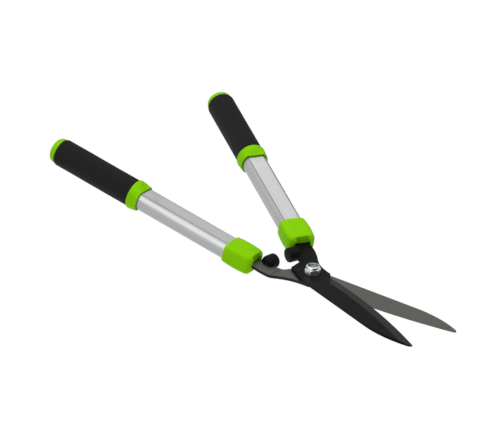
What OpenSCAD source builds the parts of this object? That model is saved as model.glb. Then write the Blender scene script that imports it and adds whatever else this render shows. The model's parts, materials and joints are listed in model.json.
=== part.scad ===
// Hedge shears: two crossed steel blades on a pivot bolt, each with a cranked
// tang in an aluminium handle.  Origin: pivot axis, on the flat underside of the
// bolt head.  +Y points along the blades, +Z along the pivot bolt towards the nut.

/* [Blades] */
// Distance from the pivot axis to the blade tips
blade_reach = 219; // [190:1:240]
// Straight back of the blade, measured from the blade's centre line
spine_x = 18.8; // [15:0.1:21]
// Straight part of the cutting edge, on the other side of that line
edge_x = 18; // [15:0.1:20]
// Thickness of the blade steel
plate_t = 3.8; // [3:0.1:5]
// Width of the ground bevel along the cutting edge
bevel_w = 13; // [6:0.5:14]
// Thickness left at the cutting edge
edge_t = 0.5; // [0.3:0.1:1]
// Space between the two blades, held by the friction washer
blade_gap = 0.6; // [0.5:0.1:1]

/* [Opening] */
// Angle that each half is swung out from the closed position
half_open = 9.1; // [0:0.1:30]

/* [Handles] */
// Angle between each handle and the centre line when closed
splay = 9.2; // [6:0.1:14]
// Angle at which each tang is bent up
crank = 15.1; // [0:0.1:20]
// Distance from the pivot to the bend, along the handle
bend_s = 46.2; // [42:0.1:50]
// Sideways distance from the pivot axis to the handle's axis
handle_off = 14.9; // [12:0.1:17]
// Width of the tube over its rounded sides
tube_w = 31; // [28:0.5:32]
// Height of the tube over its flats
tube_h = 22; // [18:0.5:24]
// Width of the tube's flat top
tube_flat = 20; // [16:0.5:22]
// Wall of the tube
tube_wall = 1.5; // [1:0.1:2]
// Diameter of the foam grip
grip_d = 35; // [34:0.5:38]
// Length of the foam grip
grip_len = 112.5; // [90:0.5:140]
// Length of the collar in front of the grip
collar_len = 14.7; // [10:0.1:20]
// Bend line to the front of the collar
collar_at = 194.3; // [150:0.1:220]
// Length of the ferrule
ferrule_len = 39.5; // [30:0.5:50]

/* [Bumpers] */
// Diameter of the rubber bumper
bumper_d = 18; // [12:0.5:18]
// Bend line to the bumper's centre
bumper_at = 16.8; // [16:0.1:17]

/* [Pivot] */
// Diameter of the pivot bolt
bolt_d = 10; // [8:1:12]
// Radial running clearance in the upper blade's bore
pivot_fit = 0.06; // [0.02:0.01:0.1]
// Nut size across its flats
nut_af = 17; // [16:0.5:19]
// Height of the nut
nut_h = 11; // [10:0.1:12]

/* [Hidden] */

$fn = 96;
fine = 720;            // fragments on arcs of very large radius
far = 400;             // larger than any part, for cutting blocks
green = [0.5, 0.8, 0.04];

// Heights along the pivot axis, from the underside of the bolt head
head_h = 6;
head_r = bolt_d;
lower_z = head_h;
washer_t = blade_gap / 2;
upper_z = lower_z + plate_t + blade_gap;
nut_z = upper_z + plate_t + 0.3;
bolt_top = nut_z + nut_h - 1.4;
neck_w = bolt_d;

// Blade outline: the back bends to the tip on one arc, the edge on a wider one
spine_start = 145;
spine_r = 172;
edge_start = 56;
edge_r = 838;
heel_x = edge_x + 1.1; // outer side of the heel, behind the bevel
tip_cut = 2.2;         // where the two arcs stop short of the blunt tip
shoulder_y = 11;       // the bevel starts in front of this corner
runout_y = 24;         // length of the bevel's slanting start
heel = [12.6, -28.8];  // inner corner of the heel
heel_end = 4;          // where the heel's inner side meets the straight back
sweep_start = 0;       // where the outer side begins to sweep out
sweep_r = 69.5;
sweep = 29.8;          // angle covered by that sweep

// Notch between the heel and the bumper, in handle coordinates
notch = [-3, 20.3];
notch_r = 6.6;
notch_edge = notch[1] - sqrt(notch_r * notch_r - notch[0] * notch[0]);

// Tang, in handle coordinates: along the handle from the bend, and towards the
// centre line from the handle's axis
tang_inner = 11;
tang_bulge_r = 60;
tang_bulge = [12, 49.2];
tang_half = 10;
tang_end = 68;
tab_w = 9;
tab_end = 18;

// Ferrule, tube, collar, grip and cap, all measured from the bend line
ferrule_at = 25.2;
ferrule_wall = 3.1;
tube_at = ferrule_at + 4;
insert_end = tang_end + 3;
rivet_d = 5;
rivets_at = [43, 59];
grip_at = collar_at + collar_len;
cap_at = grip_at + grip_len;
cap_h = 10.5;
cap_corner = 7;        // rounding of the cap's rim
cap_dome_r = 40;
tube_end = cap_at - 1.5;
plug_len = 16;
grip_r = grip_d / 2;
cap_r = grip_r - 1.4;
tuck = 4;              // stretch over which the grip draws in to the cap

// Bumper: its axis runs square to the centre line when the shears are closed
bumper_root = 6;
bumper_lift = (plate_t + blade_gap) / 2; // brings both bumpers to one height
nose_gap = 0.35;       // half the gap between the closed bumpers' noses
axis_x = handle_off * cos(splay)
       + (bend_s + bumper_at * cos(crank)) * sin(splay);
bumper_len = axis_x - nose_gap;

// ---------- small helpers ----------

// Points on an arc about c, from angle a0 to angle a1
function arc(c, r, a0, a1, n) =
  [for (i = [0:n]) c + r * [cos(a0 + (a1 - a0) * i / n), sin(a0 + (a1 - a0) * i / n)]];

// Handle coordinates (along from the bend, inwards) to the half's own frame
function from_handle(p) =
  (bend_s + p[0]) * [-sin(splay), -cos(splay)]
  + (p[1] - handle_off) * [cos(splay), -sin(splay)];

// The upper half carries the left handle.  The lower half is its mirror image.
module upper_half() {
  rotate([0, 0, -half_open]) children();
}

module lower_half() {
  mirror([1, 0, 0]) rotate([0, 0, -half_open]) children();
}

// Height of the middle of a half's plate, from the plate's lower face
function mid(z) = z + plate_t / 2;

// At the bend, level with the plate, +X along the handle and +Y inwards
module at_bend(z, tilt) {
  rotate([0, 0, -90 - splay])
    translate([bend_s, -handle_off, mid(z)])
      rotate([0, -tilt, 0])
        children();
}

module at_handle(z) {
  at_bend(z, crank) children();
}

// Cross-section of the tube, wider by off all round: flats and rounded sides
module tube_section(off) {
  h = tube_h / 2;
  bulge = (tube_w - tube_flat) / 2;
  r = (h * h + bulge * bulge) / (2 * bulge);
  intersection() {
    union() {
      translate([0, tube_w / 2 - r]) circle(r + off);
      translate([0, r - tube_w / 2]) circle(r + off);
    }
    square([tube_h + 2 * off, tube_w + 2 * off + 2], center = true);
  }
}

// Extrudes a cross-section along the handle from a to b
module along(a, b) {
  translate([a, 0, 0]) rotate([0, 90, 0]) linear_extrude(b - a) children();
}

// Turned part about the handle's axis: the profile is [along, radius]
module turned(profile) {
  rotate([0, 90, 0])
    rotate_extrude()
      polygon([for (p = profile) [p[1], p[0]]]);
}

// ---------- blades ----------

tip_a = asin((blade_reach - tip_cut - spine_start) / spine_r);
edge_a = asin((blade_reach - tip_cut - edge_start) / edge_r);
shoulder_a = asin((shoulder_y - edge_start) / edge_r);

module plate_outline() {
  polygon(concat(
    [heel, [spine_x, heel_end]],
    arc([spine_x - spine_r, spine_start], spine_r, 0, tip_a, 16),
    [[-1, blade_reach]],
    arc([edge_r - edge_x, edge_start], edge_r, 180 - edge_a, 180 - shoulder_a, 16),
    [[-heel_x, shoulder_y - 1.4], [-heel_x, sweep_start]],
    arc([-heel_x - sweep_r, sweep_start], sweep_r, 0, -sweep, 10),
    [for (p = arc(tang_bulge, tang_bulge_r, -109, -98, 4)) from_handle(p)],
    [from_handle([6, notch[1] + 4])]
  ));
}

// What the ground bevel leaves standing, for a plate on z = 0 whose mating face
// is the lower one: a cone about the edge's arc, and all that lies behind the
// bevel's slanting start
module bevel_keep() {
  slope = bevel_w / (plate_t - edge_t);
  low = 2;
  inner_x = bevel_w - edge_x + 2;
  start_y = shoulder_y + 0.5;
  translate([edge_r - edge_x, edge_start, -low])
    cylinder(
      h = plate_t + 2 * low,
      r1 = edge_r + slope * (edge_t + low),
      r2 = edge_r - bevel_w - slope * low,
      $fn = fine
    );
  translate([0, 0, -1])
    linear_extrude(plate_t + 2)
      polygon([
        [-far / 4, start_y], [0.6 - edge_x, start_y],
        [inner_x, start_y + runout_y], [far / 4, start_y + runout_y],
        [far / 4, -far / 4], [-far / 4, -far / 4]
      ]);
}

module flat_blade() {
  intersection() {
    linear_extrude(plate_t) plate_outline();
    bevel_keep();
  }
}

// Starts a little before the bend, where the plate is cut off
module tang_outline() {
  back = 6;
  into_ferrule = 2;
  shoulder = 8;        // where the notch's side has come down to the tang's
  intersection() {
    translate([-back, -far / 2]) square([ferrule_at + into_ferrule + back, far / 2 + tang_inner]);
    translate(tang_bulge) circle(tang_bulge_r, $fn = fine);
  }
  translate([ferrule_at - back, -tang_half]) square([tang_end - ferrule_at + back, 2 * tang_half]);
  translate([bumper_at - tab_w / 2, 0]) square([tab_w, tab_end]);
  translate([-back, 0]) square([back + 0.5, notch[1]]);
  polygon([[0, 0], [0, notch_edge], [shoulder, tang_inner], [shoulder, 0]]);
}

module tang_slab() {
  translate([0, 0, -plate_t / 2]) linear_extrude(plate_t) tang_outline();
}

// Rounded notch, opening towards the centre line
module notch_cut() {
  centre = from_handle(notch);
  to_notch = centre - heel;
  tangent_a = atan2(to_notch[1], to_notch[0]) - asin(notch_r / norm(to_notch));
  translate([0, 0, -far / 4])
    linear_extrude(far / 2)
      polygon(concat(
        [heel],
        arc(centre, notch_r, tangent_a - 90, -90 - splay, 14),
        [from_handle([notch[0] + notch_r, notch[1] + 40]), heel + [10, 0]]
      ));
}

// The whole plate of one half, its lower face at z; up: bevel on the upper face
module plate(z, up) {
  difference() {
    union() {
      intersection() {
        translate([0, 0, up ? z : z + plate_t]) mirror([0, 0, up ? 0 : 1]) flat_blade();
        at_bend(z, crank / 2) translate([-far, -far / 2, -far / 2]) cube(far);
      }
      intersection() {
        at_handle(z) tang_slab();
        at_bend(z, crank / 2) translate([0, -far / 2, -far / 2]) cube(far);
      }
    }
    notch_cut();
    at_handle(z) rivet_pins();
  }
}

module lower_blade() {
  color([0.38, 0.38, 0.36])
    lower_half()
      difference() {
        plate(lower_z, false);
        rotate([0, 0, half_open])
          translate([-neck_w / 2, -neck_w / 2, lower_z - 1])
            cube([neck_w, neck_w, plate_t + 2]);
      }
}

module upper_blade() {
  color([0.16, 0.16, 0.16])
    upper_half()
      difference() {
        plate(upper_z, true);
        translate([0, 0, upper_z - 1]) cylinder(h = plate_t + 2, d = bolt_d + 2 * pivot_fit);
      }
}

// ---------- handle parts, in handle coordinates ----------

module rivet_pins() {
  for (x = rivets_at)
    translate([x, 0, -tube_h / 2]) cylinder(h = tube_h, d = rivet_d, $fn = 48);
}

// Rubber bumper, slit to fit over the tang and its tab
module bumper_shape(lift) {
  r = bumper_d / 2;
  root_r = 3.5;
  swell = 7;
  nose = 2;
  difference() {
    translate([bumper_at + bumper_root * sin(splay), 0, lift])
      rotate([0, 0, 90 + splay])
        turned(concat(
          [[bumper_root, 0]],
          [for (i = [0:8]) [
            bumper_root + swell * (1 - cos(11.25 * i)),
            root_r + (r - root_r) * sin(11.25 * i)
          ]],
          [for (i = [0:8]) [bumper_len - nose + nose * sin(11.25 * i), r - nose + nose * cos(11.25 * i)]],
          [[bumper_len, 0]]
        ));
    tang_slab();
  }
}

// Ferrule: rounded outside in all three views, bored for the tube, with the
// tang's slot in its front
module ferrule_shape() {
  w = tube_w / 2 + ferrule_wall;
  h = tube_h / 2 + ferrule_wall;
  end = ferrule_at + ferrule_len;
  difference() {
    intersection() {
      along(ferrule_at, end) tube_section(ferrule_wall);
      translate([0, 0, -h]) linear_extrude(2 * h) side_outline(w, 8, 3, 1.6);
      rotate([90, 0, 0]) translate([0, 0, -w]) linear_extrude(2 * w) side_outline(h, 5.5, 2.2, 0.6);
    }
    along(tube_at, end + 1) tube_section(0);
    translate([ferrule_at - 1, -tang_half, -plate_t / 2]) cube([6, 2 * tang_half, plate_t]);
    translate([ferrule_at - 1, -12.5, -4.2]) cube([2.8, 25, 8.4]);
  }
}

// Ferrule outline in one view: half size m, front and rear corner radii, belly
module side_outline(m, front, rear, belly) {
  a = ferrule_at;
  b = ferrule_at + ferrule_len;
  in = m - belly;
  top = concat(
    [for (i = [0:6]) [a + front - front * cos(15 * i), in - front + front * sin(15 * i)]],
    [[a + 0.42 * ferrule_len, m - belly * 0.1], [a + 0.6 * ferrule_len, m]],
    [for (i = [0:6]) [b - rear + rear * sin(15 * i), in - rear + rear * cos(15 * i)]]
  );
  polygon(concat(top, [for (i = [len(top) - 1:-1:0]) [top[i][0], -top[i][1]]]));
}

// Plastic core that fills the tube round the tang
module insert_shape() {
  difference() {
    along(tube_at, insert_end) tube_section(-tube_wall);
    translate([tube_at - 1, -tang_half, -plate_t / 2])
      cube([tang_end - tube_at + 1, 2 * tang_half, plate_t]);
    rivet_pins();
  }
}

module tube_shape() {
  difference() {
    along(tube_at, tube_end) tube_section(0);
    along(tube_at - 1, tube_end + 1) tube_section(-tube_wall);
    rivet_pins();
  }
}

// Collar: round against the grip, drawn in to the tube at its front
module collar_shape() {
  front_r = 17.3;
  rim_r = grip_r + 1.3;
  lip = 2.5;
  difference() {
    turned(concat(
      [[collar_at, 0], [collar_at, front_r - 0.6], [collar_at + 0.6, front_r]],
      [for (i = [0:9]) [
        collar_at + 4.5 + (collar_len - 8) * sin(10 * i),
        front_r + (rim_r - front_r) * (1 - cos(10 * i))
      ]],
      [[grip_at - 1, rim_r], [grip_at, rim_r - 0.7], [grip_at, 0]]
    ));
    along(collar_at - 1, grip_at + 1) tube_section(0);
    translate([collar_at + 1, 0, 0]) mirror([1, 0, 0]) along(0, lip) tube_section(0.5);
  }
}

module grip_shape() {
  ease = 0.8;
  drop = grip_r - cap_r;
  tuck_r = (tuck * tuck + drop * drop) / (2 * drop);
  difference() {
    turned(concat(
      [[grip_at, 0], [grip_at, grip_r - ease], [grip_at + ease, grip_r]],
      arc([cap_at - tuck, grip_r - tuck_r], tuck_r, 90, 90 - asin(tuck / tuck_r), 6),
      [[cap_at, 0]]
    ));
    along(grip_at - 1, cap_at + 1) tube_section(0);
  }
}

// End cap: a domed button with a plug inside the tube
module cap_shape() {
  centre = cap_at + cap_h - cap_dome_r;
  flank = asin((cap_r - cap_corner) / (cap_dome_r - cap_corner));
  hub = [centre + (cap_dome_r - cap_corner) * cos(flank), cap_r - cap_corner];
  turned(concat(
    [[cap_at, 0], [cap_at, cap_r - 0.3], [cap_at + 0.3, cap_r]],
    arc(hub, cap_corner, 90, flank, 8),
    arc([centre, 0], cap_dome_r, flank * 5 / 6, 0, 5)
  ));
  difference() {
    along(cap_at - plug_len, cap_at) tube_section(-tube_wall);
    along(cap_at - plug_len - 1, cap_at - 3) tube_section(-tube_wall - 2);
  }
  along(tube_end, cap_at) tube_section(0);
}

// ---------- handles ----------

module right_handle() {
  lower_half() at_handle(lower_z) children();
}

module left_handle() {
  upper_half() at_handle(upper_z) children();
}

module right_bumper() { color([0.12, 0.12, 0.12]) right_handle() bumper_shape(bumper_lift); }
module left_bumper() { color([0.12, 0.12, 0.12]) left_handle() bumper_shape(-bumper_lift); }
module right_ferrule() { color(green) right_handle() ferrule_shape(); }
module left_ferrule() { color(green) left_handle() ferrule_shape(); }
module right_tang_insert() { color("dimgray") right_handle() insert_shape(); }
module left_tang_insert() { color("dimgray") left_handle() insert_shape(); }
module right_tang_rivets() { color("silver") right_handle() rivet_pins(); }
module left_tang_rivets() { color("silver") left_handle() rivet_pins(); }
module right_tube() { color([0.75, 0.75, 0.76]) right_handle() tube_shape(); }
module left_tube() { color([0.75, 0.75, 0.76]) left_handle() tube_shape(); }
module right_collar() { color(green) right_handle() collar_shape(); }
module left_collar() { color(green) left_handle() collar_shape(); }
module right_grip() { color([0.15, 0.15, 0.16]) right_handle() grip_shape(); }
module left_grip() { color([0.15, 0.15, 0.16]) left_handle() grip_shape(); }
module right_end_cap() { color(green) right_handle() cap_shape(); }
module left_end_cap() { color(green) left_handle() cap_shape(); }

// ---------- pivot ----------

// Flat round head, square neck in the lower blade, plain shank up to the nut
module pivot_bolt() {
  chamfer = 0.8;
  color([0.72, 0.73, 0.72]) {
    rotate_extrude()
      polygon([
        [0, 0], [head_r - 1.5, 0], [head_r, 1.5], [head_r, head_h - 0.6],
        [head_r - 0.6, head_h], [0, head_h]
      ]);
    translate([-neck_w / 2, -neck_w / 2, head_h])
      cube([neck_w, neck_w, plate_t]);
    cylinder(h = bolt_top - chamfer, d = bolt_d);
    translate([0, 0, bolt_top - chamfer])
      cylinder(h = chamfer, d1 = bolt_d, d2 = bolt_d - 2 * chamfer);
  }
}

module friction_washer() {
  color("goldenrod")
    translate([0, 0, lower_z + plate_t])
      difference() {
        cylinder(h = washer_t, r = 13);
        translate([0, 0, -1]) cylinder(h = washer_t + 2, r = bolt_d / 2 + 0.1);
      }
}

hex_h = 7.4;
seam_turn = 45;        // keeps the round faces' seam between a flat and a corner
chamfer_r = nut_af / 2 - 0.05;
collar_r = nut_af / 2 - 0.25;
insert_r = collar_r - 1.3;
insert_z = hex_h - 0.2;
insert_h = 1.8;
lip_in = insert_r - 0.7;
nut_turn = 34.6;       // rests with one corner towards the right of the blades

module pivot_nut() {
  corner_r = nut_af / 2 / cos(30);
  outer_r = corner_r + 0.4;
  color([0.75, 0.77, 0.76])
    translate([0, 0, nut_z]) rotate([0, 0, nut_turn - seam_turn])
      difference() {
        union() {
          intersection() {
            rotate([0, 0, seam_turn]) cylinder(h = hex_h, r = corner_r, $fn = 6);
            rotate_extrude()
              polygon([
                [0, 0], [chamfer_r, 0], [outer_r, 1],
                [outer_r, hex_h - 1], [chamfer_r, hex_h], [0, hex_h]
              ]);
          }
          rotate_extrude()
            polygon([
              [0, hex_h - 1], [collar_r, hex_h - 1], [collar_r, nut_h - 1.1],
              [collar_r - 0.35, nut_h - 0.35], [collar_r - 1.1, nut_h], [0, nut_h]
            ]);
        }
        translate([0, 0, -1]) cylinder(h = nut_h + 2, d = bolt_d);
        translate([0, 0, insert_z]) cylinder(h = insert_h, r = insert_r);
        translate([0, 0, insert_z]) cylinder(h = nut_h, r = lip_in);
      }
}

// Nylon ring held under the nut's rolled lip
module nut_insert() {
  color([0.1, 0.1, 0.1])
    translate([0, 0, nut_z + insert_z])
      difference() {
        cylinder(h = insert_h, r = insert_r);
        translate([0, 0, -1]) cylinder(h = insert_h + 2, d = bolt_d);
      }
}

lower_blade();
upper_blade();
right_bumper();
left_bumper();
right_ferrule();
left_ferrule();
right_tang_insert();
left_tang_insert();
right_tang_rivets();
left_tang_rivets();
right_tube();
left_tube();
right_collar();
left_collar();
right_grip();
left_grip();
right_end_cap();
left_end_cap();
pivot_bolt();
friction_washer();
pivot_nut();
nut_insert();
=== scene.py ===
import json
import math

import bpy
from mathutils import Matrix, Vector, noise


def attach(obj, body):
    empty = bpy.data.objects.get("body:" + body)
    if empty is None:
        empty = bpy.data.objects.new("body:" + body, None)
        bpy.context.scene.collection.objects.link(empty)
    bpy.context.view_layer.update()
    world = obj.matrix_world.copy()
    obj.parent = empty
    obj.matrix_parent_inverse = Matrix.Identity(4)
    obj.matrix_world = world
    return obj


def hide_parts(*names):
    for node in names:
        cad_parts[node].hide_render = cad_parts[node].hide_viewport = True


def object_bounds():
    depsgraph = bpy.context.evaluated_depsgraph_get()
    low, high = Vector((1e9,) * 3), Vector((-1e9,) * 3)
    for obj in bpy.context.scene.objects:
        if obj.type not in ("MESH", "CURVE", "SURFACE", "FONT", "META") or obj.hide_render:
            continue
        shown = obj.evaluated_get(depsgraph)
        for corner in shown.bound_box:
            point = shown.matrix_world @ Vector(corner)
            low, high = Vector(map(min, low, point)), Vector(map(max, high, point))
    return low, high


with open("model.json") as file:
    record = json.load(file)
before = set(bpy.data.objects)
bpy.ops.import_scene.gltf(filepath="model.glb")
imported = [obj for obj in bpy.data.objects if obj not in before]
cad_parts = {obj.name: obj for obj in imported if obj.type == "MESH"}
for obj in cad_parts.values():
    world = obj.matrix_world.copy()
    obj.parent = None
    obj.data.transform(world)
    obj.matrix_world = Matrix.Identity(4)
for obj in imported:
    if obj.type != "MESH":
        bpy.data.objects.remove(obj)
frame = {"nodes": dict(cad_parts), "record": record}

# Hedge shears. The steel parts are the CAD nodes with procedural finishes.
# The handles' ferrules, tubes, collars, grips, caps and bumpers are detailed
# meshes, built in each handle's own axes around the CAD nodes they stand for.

cad_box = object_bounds()
MM = 0.001
SIDES = {"right": "lower_half", "left": "upper_half"}


# ---------- handle axes ----------

class Axes:
    """A point and three axes, for building a piece in its own coordinates (mm)."""

    def __init__(self, origin, along, across, up):
        self.origin, self.along, self.across, self.up = origin, along, across, up

    def place(self, x, y, z):
        """The world point of coordinates x (along), y (across), z (up)."""
        offset = self.along * x + self.across * y + self.up * z
        return self.origin + offset * MM


class Handle(Axes):
    """One handle's axes: along it, across it to the centre line, and up."""

    def __init__(self, side):
        mounts = frame["record"]["mounts"]
        grip = next(m for m in mounts if m["name"] == side + "_grip")
        origin = Vector(grip["pos_m"])
        along = Vector(grip["axis"]).normalized()
        across = Vector((along.y, -along.x, 0)).normalized()
        if across.x * origin.x > 0:
            across.negate()
        up = along.cross(across)
        if up.z < 0:
            up.negate()
        super().__init__(origin, along, across, up)
        self.side = side

    def extent(self, part, direction):
        """Lowest and highest reach of a CAD node along a direction, in millimetres."""
        mesh = frame["nodes"][self.side + "_" + part].data
        reach = [(v.co - self.origin).dot(direction) / MM for v in mesh.vertices]
        return min(reach), max(reach)

    def span(self, part):
        return self.extent(part, self.along)


handles = {side: Handle(side) for side in SIDES}


# ---------- mesh helpers ----------

def finish_mesh(name, verts, faces, smooth_angle=40):
    """A named object whose faces are smooth except across sharp edges."""
    mesh = bpy.data.meshes.new(name)
    mesh.from_pydata(verts, [], faces)
    mesh.validate()
    obj = bpy.data.objects.new(name, mesh)
    bpy.context.scene.collection.objects.link(obj)
    bpy.context.view_layer.objects.active = obj
    for o in bpy.context.selected_objects:
        o.select_set(False)
    obj.select_set(True)
    bpy.ops.object.mode_set(mode="EDIT")
    bpy.ops.mesh.select_all(action="SELECT")
    bpy.ops.mesh.normals_make_consistent(inside=False)
    bpy.ops.object.mode_set(mode="OBJECT")
    bpy.ops.object.shade_smooth_by_angle(angle=math.radians(smooth_angle))
    return obj


def loft(name, axes, rings, closed=True, smooth_angle=40):
    """Joins rings of points, given in the axes' coordinates, into one skin. A closed
    loft runs from the last ring back to the first; an open one gets end faces."""
    n = len(rings[0])
    verts = [axes.place(*p) for ring in rings for p in ring]
    pairs = [(k, k + 1) for k in range(len(rings) - 1)]
    if closed:
        pairs.append((len(rings) - 1, 0))
    faces = []
    for a, b in pairs:
        for i in range(n):
            j = (i + 1) % n
            faces.append((a * n + i, a * n + j, b * n + j, b * n + i))
    if not closed:
        faces.append(tuple(range(n)))
        faces.append(tuple(len(verts) - n + i for i in range(n)))
    return finish_mesh(name, verts, faces, smooth_angle)


def arc(cx, cy, r, a0, a1, steps):
    """Points on an arc, from angle a0 to a1 in degrees."""
    turn = [math.radians(a0 + (a1 - a0) * k / steps) for k in range(steps + 1)]
    return [(cx + r * math.cos(t), cy + r * math.sin(t)) for t in turn]


# ---------- cross-sections, as reach against direction ----------

AROUND = 128
DIRECTIONS = [2 * math.pi * k / AROUND for k in range(AROUND)]
HALF_FLAT = 10.0   # half the width of the tube's flat top and bottom
BORE_GAP = 0.05    # how far a bore stands off the tube in it


class TubeSection:
    """Flat top and bottom, round sides. Sized from the CAD tube."""

    def __init__(self, handle):
        self.h = handle.extent("tube", handle.up)[1]
        self.w = handle.extent("tube", handle.across)[1]
        bulge = self.w - HALF_FLAT
        self.r = (self.h ** 2 + bulge ** 2) / (2 * bulge)
        self.c = self.w - self.r

    def reach(self, angle, grow=0.0):
        """Distance from the axis to the section's outline."""
        y, z = abs(math.cos(angle)), abs(math.sin(angle))
        r = self.r + grow
        side = self.c * y + math.sqrt(max(r * r - (self.c * z) ** 2, 0))
        return min(side, (self.h + grow) / max(z, 1e-9))

    def bore(self, angle):
        return self.reach(angle, BORE_GAP)


def oblong(w, h, power):
    """Reach of a superellipse of half sizes w and h: the higher the power, the squarer."""
    def reach(angle):
        y, z = abs(math.cos(angle)) / w, abs(math.sin(angle)) / h
        return (y ** power + z ** power) ** (-1 / power)
    return reach


def circle(r):
    """Reach of a circle."""
    return lambda angle: r


def polar(x, angle, distance):
    """The point at x, in a direction and at a distance from the axis."""
    return (x, distance * math.cos(angle), distance * math.sin(angle))


def ring(x, reach, angles=DIRECTIONS):
    """A ring of points at x, with reach(angle) from the axis."""
    return [polar(x, a, reach(a)) for a in angles]


# ---------- materials ----------

class Nodes:
    """Short forms for building a shader."""

    def __init__(self, name):
        self.material = bpy.data.materials.new(name)
        self.material.use_nodes = True
        self.tree = self.material.node_tree
        self.shader = self.tree.nodes["Principled BSDF"]

    def add(self, kind, **settings):
        node = self.tree.nodes.new("ShaderNode" + kind)
        for key, value in settings.items():
            setattr(node, key, value)
        return node

    def link(self, out, into):
        self.tree.links.new(out, into)

    def set(self, **values):
        for key, value in values.items():
            self.shader.inputs[key.replace("_", " ")].default_value = value

    def position(self, scale=(1, 1, 1), axes=None):
        """Object coordinates, turned into the given axes and scaled."""
        coords = self.add("TexCoord").outputs["Object"]
        mapping = self.add("Mapping", vector_type="POINT")
        if axes:
            turn = Matrix([axes.along, axes.up.cross(axes.along), axes.up])
            turned = self.add("Mapping", vector_type="POINT")
            turned.inputs["Rotation"].default_value = turn.to_euler()
            turned.inputs["Location"].default_value = -(turn @ axes.origin)
            self.link(coords, turned.inputs["Vector"])
            coords = turned.outputs["Vector"]
        mapping.inputs["Scale"].default_value = scale
        self.link(coords, mapping.inputs["Vector"])
        return mapping.outputs["Vector"]

    def noise(self, vector, scale, detail=4.0, roughness=0.55):
        node = self.add("TexNoise")
        node.inputs["Scale"].default_value = scale
        node.inputs["Detail"].default_value = detail
        node.inputs["Roughness"].default_value = roughness
        self.link(vector, node.inputs["Vector"])
        return node.outputs["Fac"]

    def ramp(self, fac, stops):
        """A colour ramp: stops are (position, colour)."""
        node = self.add("ValToRGB")
        elements = node.color_ramp.elements
        while len(elements) < len(stops):
            elements.new(0.5)
        for element, (place, colour) in zip(elements, stops):
            element.position = place
            element.color = (*colour, 1)
        self.link(fac, node.inputs["Fac"])
        return node.outputs["Color"]

    def spread(self, fac, low, high, start=0.0, stop=1.0):
        """Maps start..stop to low..high."""
        node = self.add("MapRange")
        node.inputs["From Min"].default_value = start
        node.inputs["From Max"].default_value = stop
        node.inputs["To Min"].default_value = low
        node.inputs["To Max"].default_value = high
        self.link(fac, node.inputs["Value"])
        return node.outputs["Result"]

    def mix(self, fac, a, b, blend="MIX"):
        node = self.add("Mix", data_type="RGBA", blend_type=blend)
        sockets = (node.inputs["Factor"], node.inputs[6], node.inputs[7])
        for socket, value in zip(sockets, (fac, a, b)):
            if isinstance(value, bpy.types.NodeSocket):
                self.link(value, socket)
            else:
                socket.default_value = value if isinstance(value, float) else (*value, 1)
        return node.outputs[2]

    def shade(self, colour, amount):
        """The colour times a value or another colour."""
        return self.mix(1.0, colour, amount, "MULTIPLY")

    def parts(self, vector):
        """The sizes of a vector's three components, without their signs."""
        split = self.add("SeparateXYZ")
        self.link(vector, split.inputs["Vector"])
        return [self.math("ABSOLUTE", split.outputs[k]) for k in range(3)]

    def tilt(self, axis):
        """1 where the surface faces along the axis or against it, 0 square to it."""
        dot = self.add("VectorMath", operation="DOT_PRODUCT")
        self.link(self.add("TexCoord").outputs["Normal"], dot.inputs[0])
        dot.inputs[1].default_value = axis
        return self.math("ABSOLUTE", dot.outputs["Value"])

    def facing(self):
        """How far the surface faces along X, Y and Z."""
        return self.parts(self.add("TexCoord").outputs["Normal"])

    def math(self, operation, a, b=0.0):
        node = self.add("Math", operation=operation)
        for socket, value in zip(node.inputs, (a, b)):
            if isinstance(value, bpy.types.NodeSocket):
                self.link(value, socket)
            else:
                socket.default_value = value
        return node.outputs[0]

    def bump(self, height, strength, distance, onto=None):
        node = self.add("Bump")
        node.inputs["Strength"].default_value = strength
        node.inputs["Distance"].default_value = distance
        self.link(height, node.inputs["Height"])
        if onto:
            self.link(onto, node.inputs["Normal"])
        return node.outputs["Normal"]

    def outputs(self, colour, roughness, normal):
        """Links the three results to the shader and returns the material."""
        for socket, value in (
            ("Base Color", colour), ("Roughness", roughness), ("Normal", normal),
        ):
            self.link(value, self.shader.inputs[socket])
        return self.material


def grey(value):
    return (value, value, value)


def green_plastic():
    """Lime moulded plastic with a fine spark-eroded texture and slight flow marks,
    with painted shade that darkens its sides."""
    m = Nodes("green_plastic")
    at = m.position()
    cloud = m.noise(at, 45, 3)
    grain = m.noise(at, 2600, 2)
    colour = m.ramp(cloud, [(0.3, (0.185, 0.495, 0.0)), (0.7, (0.21, 0.535, 0.0005))])
    # painted shade: faces turned sideways, away from straight up or down, are darkened to 0.82
    colour = m.shade(colour, m.spread(m.facing()[2], 0.82, 1.0, 0.3, 0.8))
    rough = m.spread(m.noise(at, 160, 4), 0.4, 0.52, 0.3, 0.7)
    normal = m.bump(grain, 0.16, 0.0001)
    m.set(IOR=1.45, Specular_IOR_Level=0.03)
    return m.outputs(colour, rough, normal)


def grip_foam():
    """Closed-cell foam rubber: near black, matte, with fine open cells."""
    m = Nodes("grip_foam")
    at = m.position()
    cells = m.add("TexVoronoi", feature="F1")
    cells.inputs["Scale"].default_value = 1500
    m.link(at, cells.inputs["Vector"])
    cloud = m.noise(at, 70, 5, 0.6)
    colour = m.ramp(cloud, [(0.3, (0.0055, 0.0055, 0.0065)), (0.72, (0.0095, 0.0095, 0.011))])
    normal = m.bump(cells.outputs["Distance"], 0.35, 0.00025)
    normal = m.bump(m.noise(at, 300, 4), 0.2, 0.0004, normal)
    rough = m.spread(cloud, 0.62, 0.8, 0.3, 0.7)
    m.set(IOR=1.4, Specular_IOR_Level=0.16, Sheen_Weight=0.02, Sheen_Roughness=0.5)
    return m.outputs(colour, rough, normal)


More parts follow.
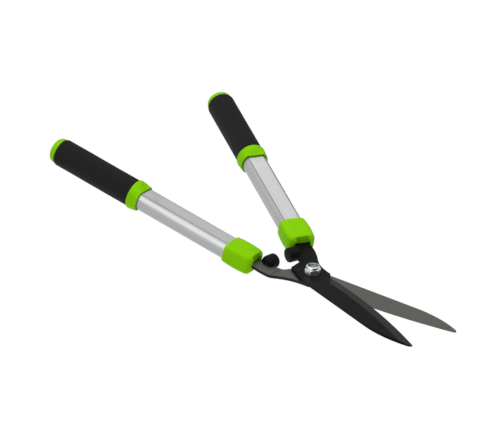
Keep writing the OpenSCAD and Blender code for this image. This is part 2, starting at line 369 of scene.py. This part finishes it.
def bumper_rubber():
    """Moulded rubber, a little dusty, with a soft orange-peel surface."""
    m = Nodes("bumper_rubber")
    at = m.position()
    cloud = m.noise(at, 180, 5)
    colour = m.ramp(cloud, [(0.3, (0.0045, 0.0045, 0.005)), (0.75, (0.0075, 0.0075, 0.008))])
    normal = m.bump(m.noise(at, 1400, 3), 0.18, 0.0002)
    rough = m.spread(cloud, 0.42, 0.6, 0.3, 0.7)
    m.set(IOR=1.45, Specular_IOR_Level=0.06)
    return m.outputs(colour, rough, normal)


def tube_aluminium(handle):
    """Satin anodised extrusion: fine die lines run along the tube, and painted shade
    darkens its sides against its flats and the groove beside each flat."""
    m = Nodes("tube_aluminium_" + handle.side)
    lines = m.noise(m.position((6, 900, 900), handle), 1, 3, 0.6)
    broad = m.noise(m.position((3, 90, 90), handle), 1, 3, 0.5)
    colour = m.ramp(broad, [(0.3, (0.63, 0.635, 0.64)), (0.7, (0.695, 0.70, 0.705))])
    full = 20.0  # the ramp's whole length, in millimetres from the tube's middle
    across = m.math("MULTIPLY", m.parts(m.position(axes=handle))[1], 1 / (full * MM))
    # painted shade in the groove beside each flat: 0.25 in the groove, 0.94 on the flats, 1.0 on
    # the sides
    stops = ((-0.7, 0.94), (-0.35, 0.25), (0.15, 0.25), (0.4, 1.0))
    groove = m.ramp(across, [((HALF_FLAT + off) / full, grey(v)) for off, v in stops])
    colour = m.shade(colour, groove)
    # painted shade: the sides, tilted away from up, darken to 0.62 of the flats
    colour = m.shade(colour, m.spread(m.tilt(handle.up), 0.62, 1.0, 0.78, 0.96))
    rough = m.spread(lines, 0.3, 0.42, 0.25, 0.75)
    normal = m.bump(lines, 0.12, 0.00006)
    m.set(Metallic=1.0, Anisotropic=0.35)
    return m.outputs(colour, rough, normal)


def ground_steel(name, flat, ground):
    """Blade steel: satin flats with marks along the blade, and painted shade on the cut edges."""
    m = Nodes(name)
    lines = m.noise(m.position((700, 9, 700)), 1, 4, 0.65)
    cloud = m.noise(m.position(), 22, 4)
    colour = m.mix(cloud, flat, ground)
    # painted shade: faces turned away from up, the plate's cut edges, go dark grey
    colour = m.mix(m.spread(m.facing()[2], 0.0, 1.0, 0.5, 0.85), grey(0.024), colour)
    rough = m.spread(lines, 0.38, 0.55, 0.25, 0.75)
    normal = m.bump(lines, 0.22, 0.00005)
    m.set(Metallic=1.0)
    return m.outputs(colour, rough, normal)


def black_steel():
    """Black coated blade: a thin semi-gloss coat with faint grinding marks under it,
    a painted highlight on its bevel and painted shade on its cut edges."""
    m = Nodes("black_steel")
    lines = m.noise(m.position((620, 10, 620)), 1, 4, 0.6)
    cloud = m.noise(m.position(), 40, 5)
    colour = m.ramp(cloud, [(0.3, (0.0052, 0.0054, 0.0054)), (0.7, (0.0085, 0.0085, 0.0082))])
    sideways, _, face = m.facing()
    # painted highlight: the bevel, found by its slight lean, is made paler
    leaning = m.spread(sideways, 0.0, 1.0, 0.13, 0.2)
    bevel = m.math("MULTIPLY", leaning, m.spread(face, 0.0, 1.0, 0.85, 0.93))
    colour = m.mix(bevel, colour, grey(0.024))
    # painted shade: faces turned away from up, the plate's cut edges, go near black
    colour = m.mix(m.spread(face, 0.0, 1.0, 0.5, 0.85), grey(0.003), colour)
    rough = m.spread(lines, 0.32, 0.48, 0.25, 0.75)
    normal = m.bump(lines, 0.15, 0.00005)
    m.set(IOR=1.5, Specular_IOR_Level=0.035)
    return m.outputs(colour, rough, normal)


def zinc_steel(name, low, high):
    """Bright zinc plating: crisp highlights, faint spangle and handling marks."""
    m = Nodes(name)
    at = m.position()
    cloud = m.noise(at, 420, 5, 0.65)
    colour = m.ramp(cloud, [(0.3, low), (0.7, high)])
    rough = m.spread(m.noise(at, 900, 3), 0.24, 0.36, 0.3, 0.7)
    normal = m.bump(m.noise(at, 700, 4), 0.05, 0.0001)
    m.set(Metallic=1.0)
    return m.outputs(colour, rough, normal)


def simple_finish(name, low, high, metallic, rough, scale):
    """Moulded or rolled stock that shows only at its edges."""
    m = Nodes(name)
    at = m.position()
    cloud = m.noise(at, scale, 5)
    colour = m.ramp(cloud, [(0.3, low), (0.7, high)])
    roughness = m.spread(cloud, rough - 0.08, rough + 0.08, 0.3, 0.7)
    normal = m.bump(m.noise(at, 4 * scale, 3), 0.12, 0.0001)
    m.set(Metallic=metallic)
    return m.outputs(colour, roughness, normal)


GREEN = green_plastic()
FOAM = grip_foam()
RUBBER = bumper_rubber()
ZINC = zinc_steel("zinc_steel", (0.60, 0.63, 0.62), (0.82, 0.85, 0.83))
DULL_ZINC = zinc_steel("dull_zinc", (0.29, 0.31, 0.30), (0.39, 0.41, 0.40))


def dress(obj, material):
    obj.data.materials.clear()
    obj.data.materials.append(material)


def fit_piece(handle, obj, part, material):
    """Puts a new piece in a CAD node's place, on that handle's body."""
    dress(obj, material)
    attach(obj, SIDES[handle.side])
    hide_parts(handle.side + "_" + part)
    return obj


# ---------- handle pieces ----------

def make_tube(handle, section):
    """Extruded tube with a fine groove beside each edge of its flats."""
    start, end = handle.span("tube")
    wall, ease = 1.5, 0.3
    groove = 0.3         # its depth
    groove_half = 0.03   # half its width, in radians round the tube
    crease = math.atan2(section.h, HALF_FLAT)

    def outer(angle):
        fold = math.atan2(abs(math.sin(angle)), abs(math.cos(angle)))
        dip = max(0.0, 1 - abs(fold - crease) / groove_half)
        return section.reach(angle) - groove * dip

    def inner(angle):
        return section.reach(angle, -wall)

    def eased(angle):
        return outer(angle) - ease

    across_groove = [groove_half * k / 2 for k in range(-2, 3)]
    grooves = [base + sign * (crease + d) for base in (0, math.pi, 2 * math.pi)
               for sign in (-1, 1) for d in across_groove]
    angles = sorted(DIRECTIONS + [a for a in grooves if 0 <= a < 2 * math.pi])
    stations = (
        (start, eased), (start + ease, outer), (end - ease, outer),
        (end, eased), (end, inner), (start, inner),
    )
    rings = [ring(x, reach, angles) for x, reach in stations]
    return loft(handle.side + "_tube_skin", handle, rings, smooth_angle=25)


def smooth_step(low, high, value):
    t = min(1, max(0, (value - low) / (high - low)))
    return t * t * (3 - 2 * t)


def make_ferrule(handle, section):
    """Socket for the tang: a soft barrel, set back between two cheeks at its front."""
    start, end = handle.span("ferrule")
    half_w = handle.extent("ferrule", handle.across)[1]
    half_h = handle.extent("ferrule", handle.up)[1]
    tang_w, tang_h = 10.3, 2.9
    recess_w, recess_h, recess_ease = 10.4, 8.0, 0.4
    cheek_round, mid_round, rear_round = 6.5, 1.6, 2.4
    set_back = 2.6   # of the front's middle, behind its cheeks
    soft, square = 3.6, 12

    def body(x, angle):
        """The barrel's reach at x: widest past its middle."""
        swell = 1 - ((x - start) / (end - start) - 0.55) ** 2 / 0.3
        w = half_w - 1.9 * (1 - swell)
        h = half_h - 0.9 * (1 - swell)
        return oblong(w, h, soft)(angle)

    def middle(angle, reach):
        """1 in the set-back middle of the front, 0 in the cheeks."""
        return 1 - smooth_step(9.8, 12.2, abs(math.cos(angle)) * reach)

    def front_ring(turn):
        """Across the front's rounded edge, from its face (0) to its side (90)."""
        points = []
        for a in DIRECTIONS:
            flat = middle(a, body(start, a))
            r = cheek_round + (mid_round - cheek_round) * flat
            x = start + set_back * flat + r * (1 - math.cos(turn))
            points.append(polar(x, a, body(x, a) - r * (1 - math.sin(turn))))
        return points

    def bore_fit(angle):
        return section.reach(angle, 0.03)

    rings = [front_ring(math.radians(15 * k)) for k in range(7)]
    first, last = start + cheek_round + 1, end - rear_round
    steps = 12
    for k in range(steps + 1):
        x = first + (last - first) * k / steps
        rings.append(ring(x, lambda a, x=x: body(x, a)))
    for x, y in arc(0, 0, rear_round, 90, 0, 5)[1:]:
        rings.append(ring(last + y, lambda a, x=x: body(last, a) - rear_round + x))
    # the tube's bore, the tang's slot and the recess round it
    floor, recess = start + 4, start + set_back
    slot = oblong(tang_w, tang_h, square)
    lip = oblong(recess_w + recess_ease, recess_h + recess_ease, square)
    rings += [ring(end, bore_fit), ring(floor, bore_fit), ring(floor, slot), ring(recess, slot)]
    rings.append(ring(recess, oblong(recess_w, recess_h, square)))
    rings.append([polar(start + set_back * middle(a, lip(a)), a, lip(a)) for a in DIRECTIONS])
    return loft(handle.side + "_ferrule_shell", handle, rings, smooth_angle=32)


def make_bumper(handle, section):
    """Rubber bumper: egg-shaped at its root, with a broad, slightly domed nose."""
    pivot = frame["record"]["behaviour"]["joints"][0]
    closed = math.radians(-pivot["range_deg"][0] / 2)
    out = -1 if handle.side == "left" else 1
    turn = Matrix.Rotation(-out * closed, 3, "Z")
    along = turn.inverted() @ Vector((-out, 0, 0))
    along = (along - handle.up * along.dot(handle.up)).normalized()
    across = handle.up.cross(along)
    low, high = handle.extent("bumper", across)
    middle_up = sum(handle.extent("bumper", handle.up)) / 2
    centre = handle.origin + (across * (low + high) / 2 + handle.up * middle_up) * MM
    shift = (centre - handle.origin).dot(along) / MM
    root, tip = (reach - shift for reach in handle.extent("bumper", along))
    radius = (high - low) / 2
    swell, root_r, nose, dome = 7.0, 3.5, 1.8, 0.4
    rim = radius - nose
    profile = []
    for k in range(11):
        t = math.pi / 2 * k / 10
        profile.append((root + swell * (1 - math.cos(t)), root_r + (radius - root_r) * math.sin(t)))
    profile += [(tip - dome - nose + y, rim + x) for x, y in arc(0, 0, nose, 0, 90, 8)]
    profile += [(tip - dome * (k / 6) ** 2, rim * k / 6) for k in range(5, 0, -1)]
    axes = Axes(centre, along, across, handle.up)
    rings = [ring(x, circle(r)) for x, r in profile]
    return loft(handle.side + "_bumper_rubber", axes, rings, closed=False, smooth_angle=45)


def make_grip(handle, section):
    """Foam sleeve: a surface that isn't quite true, drawn in to the end cap."""
    start, end = handle.span("grip")
    radius = handle.extent("grip", handle.up)[1]
    uneven = 0.12    # how far the surface may lie under its true radius
    round_end = 1.0
    tuck = 4.0       # how long the drawn-in end is
    drop = radius - handle.extent("end_cap", handle.up)[1]
    tuck_r = (tuck ** 2 + drop ** 2) / (2 * drop)
    turn = math.degrees(math.asin(tuck / tuck_r))
    first, last = start + round_end, end - tuck
    steps = 90
    profile = arc(first, radius - round_end, round_end, 180, 90, 6)
    profile += [(first + (last - first) * k / steps, radius) for k in range(1, steps)]
    profile += arc(last, radius - tuck_r, tuck_r, 90, 90 - turn, 8)
    rings = []
    for x, r in profile:
        points = []
        for a in DIRECTIONS:
            _, y, z = polar(x, a, 1.6)
            wave = noise.noise(Vector((x * 0.05, y, z)))
            points.append(polar(x, a, r + uneven * (wave - 1)))
        rings.append(points)
    rings += [ring(end, section.bore), ring(start, section.bore)]
    return loft(handle.side + "_grip_sleeve", handle, rings, smooth_angle=50)


def make_collar(handle, section):
    """Collar: a round rim against the grip, drawn in to the tube's shape in front."""
    start, end = handle.span("collar")
    rim = handle.extent("collar", handle.up)[1]
    nose, rear_round = 1.0, 1.4
    front_grow, step = 2.5, 1.0
    mouth = 2.4      # how deep the loose front of its bore is

    def outline(t, trim=0.0):
        """Front (t = 0) follows the tube; the rim (t = 1) is round."""
        def reach(angle):
            front = min(section.reach(angle, front_grow), rim - step)
            return front + (rim - front) * t - trim
        return reach

    rings = []
    for x, y in arc(0, 0, nose, 180, 90, 5):
        rings.append(ring(start + nose + x, outline(0.0, nose - y)))
    body = end - start - nose - rear_round
    steps = 12
    for k in range(1, steps + 1):
        t = k / steps
        swell = math.sin(t * math.pi / 2) ** 1.3
        rings.append(ring(start + nose + body * t, outline(swell)))
    for x, y in arc(end - rear_round, rim - rear_round, rear_round, 90, 0, 6):
        rings.append(ring(x, circle(y)))
    rings += [ring(end, section.bore), ring(start + mouth + 0.2, section.bore)]
    rings.append(ring(start + mouth, lambda a: section.reach(a, 0.5)))
    rings.append(ring(start + 0.4, lambda a: section.reach(a, 0.6)))
    return loft(handle.side + "_collar_shell", handle, rings, smooth_angle=35)


def make_end_cap(handle, section):
    """Domed cap with a rounded rim, and its plug inside the tube."""
    start, top = handle.span("end_cap")
    grip_end = handle.span("grip")[1]
    radius = handle.extent("end_cap", handle.up)[1]
    ease = 0.4
    # the plug, hollow from its inner end
    floor, hollow, plug = grip_end - 3, -3.5, -1.6
    lip = 0.5
    stations = (
        (floor, hollow), (start, hollow), (start, plug - lip), (start + lip, plug),
        (grip_end, plug),
    )
    rings = [ring(x, lambda a, grow=grow: section.reach(a, grow)) for x, grow in stations]
    # the button: its flank, its rounded corner and its dome
    rings += [ring(grip_end, circle(radius - ease)), ring(grip_end + ease, circle(radius))]
    corner, dome_r = 7.0, 40.0
    centre = top - dome_r
    flank = math.asin((radius - corner) / (dome_r - corner))
    hub = centre + (dome_r - corner) * math.cos(flank)
    profile = arc(hub, radius - corner, corner, 90, math.degrees(flank), 6)
    steps = 14
    for k in range(steps - 1, 0, -1):
        t = flank * k / steps
        profile.append((centre + dome_r * math.cos(t), dome_r * math.sin(t)))
    rings += [ring(x, circle(r)) for x, r in profile]
    return loft(handle.side + "_end_cap_button", handle, rings, closed=False, smooth_angle=35)


def make_handle(side):
    handle = handles[side]
    section = TubeSection(handle)
    aluminium = tube_aluminium(handle)
    for make, part, material, slot in (
        (make_tube, "tube", aluminium, "tube_aluminium"),
        (make_ferrule, "ferrule", GREEN, "green_plastic"),
        (make_bumper, "bumper", RUBBER, "bumper_rubber"),
        (make_grip, "grip", FOAM, "grip_foam"),
        (make_collar, "collar", GREEN, "green_plastic"),
        (make_end_cap, "end_cap", GREEN, "green_plastic"),
    ):
        fit_piece(handle, make(handle, section), part, material)


for side in SIDES:
    make_handle(side)


# ---------- CAD nodes that stay ----------

GROUND = ground_steel("ground_steel", (0.128, 0.125, 0.115), (0.165, 0.161, 0.149))
BRASS = simple_finish("washer_brass", (0.55, 0.38, 0.12), (0.7, 0.52, 0.2), 1.0, 0.35, 300)
# the nut's nylon insert, near black: its own colour and painted shadow in the groove round the bolt
# end
NYLON_AND_GROOVE_SHADOW = simple_finish(
    "dark_nylon", (0.008, 0.0085, 0.008), (0.014, 0.015, 0.014), 0.0, 0.5, 400)
CORE = simple_finish("core_plastic", grey(0.02), grey(0.04), 0.0, 0.6, 200)

for node, material, slot in (
    ("lower_blade", GROUND, "ground_steel"),
    ("upper_blade", black_steel(), "black_steel"),
    ("pivot_bolt", DULL_ZINC, "zinc_steel"),
    ("pivot_nut", ZINC, "zinc_steel"),
    ("friction_washer", BRASS, "washer_brass"),
    ("nut_insert", NYLON_AND_GROOVE_SHADOW, "dark_nylon"),
    ("right_tang_insert", CORE, "core_plastic"),
    ("left_tang_insert", CORE, "core_plastic"),
    ("right_tang_rivets", ZINC, "zinc_steel"),
    ("left_tang_rivets", ZINC, "zinc_steel"),
):
    dress(frame["nodes"][node], material)


# ---------- floor, light and camera ----------

def make_floor():
    half = 4.0
    corners = [(-half, -half, 0), (half, -half, 0), (half, half, 0), (-half, half, 0)]
    mesh = bpy.data.meshes.new("floor")
    mesh.from_pydata(corners, [], [(0, 1, 2, 3)])
    floor = bpy.data.objects.new("floor", mesh)
    floor.location.z = cad_box[0].z - 0.0005
    bpy.context.scene.collection.objects.link(floor)
    m = Nodes("floor")
    m.set(Base_Color=(0.02, 0.02, 0.02, 1), Roughness=1.0, Specular_IOR_Level=0.0)
    m.set(Emission_Color=(1, 1, 1, 1), Emission_Strength=0.99)
    mesh.materials.append(m.material)


def area_light(name, place, power):
    """A square soft box that looks at the shears."""
    light = bpy.data.lights.new(name, "AREA")
    light.size = 1.2
    light.energy = power
    obj = bpy.data.objects.new(name, light)
    obj.location = place
    look = Vector((0, -0.05, 0)) - Vector(place)
    obj.rotation_euler = look.to_track_quat("-Z", "Y").to_euler()
    bpy.context.scene.collection.objects.link(obj)
    return obj


def make_world(low, high):
    """A soft dome of light, brightest overhead and on the right-hand side."""
    brightest = (0.405, -0.29, 0.866)
    world = bpy.data.worlds.new("studio")
    world.use_nodes = True
    nodes, links = world.node_tree.nodes, world.node_tree.links
    lean = nodes.new("ShaderNodeVectorMath")
    lean.operation = "DOT_PRODUCT"
    lean.inputs[1].default_value = brightest
    links.new(nodes.new("ShaderNodeTexCoord").outputs["Generated"], lean.inputs[0])
    spread = nodes.new("ShaderNodeMapRange")
    for end, start, strength in (("Min", 0.25, low), ("Max", 0.55, high)):
        spread.inputs["From " + end].default_value = start
        spread.inputs["To " + end].default_value = strength
    links.new(lean.outputs["Value"], spread.inputs["Value"])
    links.new(spread.outputs["Result"], nodes["Background"].inputs["Strength"])
    nodes["Background"].inputs["Color"].default_value = (1, 1, 1, 1)
    bpy.context.scene.world = world


def make_camera():
    """Looks from above the blades' side at the middle of the shears."""
    place = Vector((2.528453, 2.890516, 1.744865))
    forward = Vector((-0.590824, -0.702897, -0.39606)).normalized()
    level_right = forward.cross(Vector((0, 0, 1))).normalized()
    level_up = level_right.cross(forward)
    roll = math.radians(1.526)
    right = level_right * math.cos(roll) + level_up * math.sin(roll)
    up = right.cross(forward)
    data = bpy.data.cameras.new("camera")
    data.sensor_width = 36
    data.lens = 252.55
    data.clip_start = 0.1
    data.clip_end = 20
    camera = bpy.data.objects.new("camera", data)
    turn = Matrix((right, up, -forward)).transposed().to_4x4()
    camera.matrix_world = Matrix.Translation(place) @ turn
    bpy.context.scene.collection.objects.link(camera)
    bpy.context.scene.camera = camera


make_floor()
make_world(0.3, 1.1)
area_light("key", (-0.6, 0.6, 1.6), 11)
area_light("fill", (1.4, 0.2, 1.0), 6)
make_camera()

bpy.context.scene.view_settings.view_transform = "Standard"
